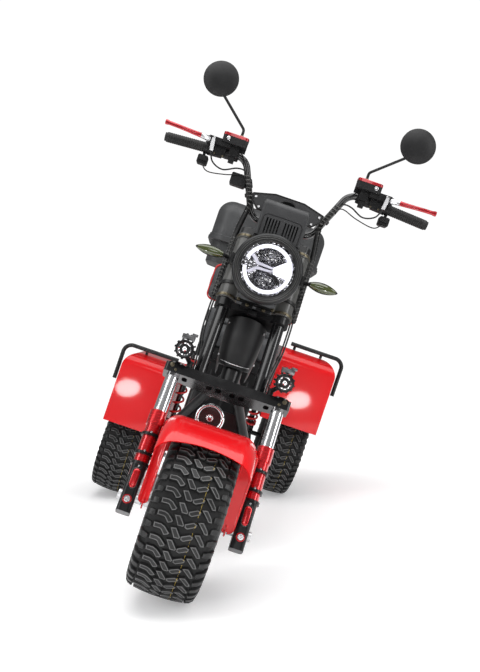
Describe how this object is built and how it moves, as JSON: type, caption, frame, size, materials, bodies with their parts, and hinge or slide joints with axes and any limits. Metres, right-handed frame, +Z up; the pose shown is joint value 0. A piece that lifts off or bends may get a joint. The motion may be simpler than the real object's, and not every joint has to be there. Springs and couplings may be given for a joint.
{
  "type": "tilting electric trike",
  "caption": "Three-wheeled electric scooter with wide fork, high handlebar, boxed fenders, seats and a top case, leaning on tilting rear arms.",
  "frame": {"origin": "middle of the bounding box, on the ground", "axes": "+Y rearwards along the vehicle, +X towards its left side, +Z up; the body leans 19 degrees towards +X"},
  "size_m": [1.2861, 2.073, 1.5992],
  "materials": {
    "tyre": "matt black rubber with chevron lugs",
    "rim": "satin cast alloy",
    "red_paint": "glossy red moulding",
    "red_anodised": "red anodised alloy",
    "bright_chrome": "hard chrome",
    "black_steel": "semi-gloss black powder coat",
    "satin_grey": "satin grey",
    "bare_alloy": "machined",
    "black_plastic": "fine-grained black moulding",
    "case_plastic": "satin dark grey moulding",
    "rubber": "ribbed rubber",
    "clear_lens": "clear",
    "red_lens": "clear red moulding",
    "horn_chrome": "bright rim",
    "red_spring": "red coated spring",
    "seat_leather": "grey synthetic leather, red piping"
  },
  "bodies": {
    "chassis": {"swingarm_right": "black_steel", "rear_fender_right": "red_paint", "guard_rail_right": "black_steel", "shock_right": "red_spring", "swingarm_left": "black_steel", "rear_fender_left": "red_paint", "guard_rail_left": "black_steel", "shock_left": "red_spring", "main_frame": "black_steel", "neck_cover": "black_plastic", "battery_box": "black_steel", "foot_deck": "satin_grey", "horn": "horn_chrome", "boot_box": "black_plastic", "rider_seat": "seat_leather", "passenger_seat": "seat_leather", "backrest": "seat_leather", "case_rack": "black_steel", "top_case_base": "case_plastic", "tail_lamp": "red_lens", "plate_holder": "black_plastic"},
    "front_wheel": {"front_tyre": "tyre", "front_rim": "rim"},
    "rear_wheel_left": {"rear_tyre_left": "tyre", "rear_rim_left": "rim"},
    "rear_wheel_right": {"rear_tyre_right": "tyre", "rear_rim_right": "rim"},
    "case_lid": {"top_case_lid": "case_plastic"},
    "steering": {"fork_shoes": "black_steel", "fork_sliders": "red_anodised", "slider_rings": "black_steel", "fork_tubes": "bright_chrome", "upper_tubes": "black_steel", "yoke_plate": "black_steel", "mid_yoke": "black_steel", "fork_shrouds": "satin_grey", "headlight_ears": "black_steel", "top_yoke": "black_steel", "handlebar": "black_steel", "hand_grips": "rubber", "hand_levers": "red_anodised", "hand_controls": "black_plastic", "mirrors": "black_plastic", "front_axle": "bare_alloy", "front_caliper": "bare_alloy", "front_fender": "red_paint", "headlight_shell": "black_plastic", "headlight_lens": "clear_lens", "turn_signals": "black_plastic", "aux_lamps": "black_plastic", "cowl": "black_plastic", "instrument_plate": "black_plastic", "cable_bundles": "rubber", "headlight_reflector": "bright_chrome"}
  },
  "joints": [
    {"name": "steering", "type": "hinge", "parent": "chassis", "child": "steering", "pos_m": [-0.03329, -0.60707, 0.54957], "axis": [0.2939, 0.4305, 0.8534], "range_deg": [-32, 32]},
    {"name": "front_wheel_spin", "type": "hinge", "parent": "steering", "child": "front_wheel", "pos_m": [-0.14258, -0.8115, 0.23217], "axis": [0.9455, 0, -0.3256], "continuous": true},
    {"name": "rear_wheel_left_spin", "type": "hinge", "parent": "chassis", "child": "rear_wheel_left", "pos_m": [0.20009, 0.7315, 0.23217], "axis": [0.9455, 0, -0.3256], "continuous": true},
    {"name": "rear_wheel_right_spin", "type": "hinge", "parent": "chassis", "child": "rear_wheel_right", "pos_m": [-0.48525, 0.7315, 0.23217], "axis": [0.9455, 0, -0.3256], "continuous": true},
    {"name": "case_lid", "type": "hinge", "parent": "chassis", "child": "case_lid", "pos_m": [0.128, 0.6305, 1.08557], "axis": [0.9455, 0, -0.3256], "range_deg": [0, 75]}
  ]
}
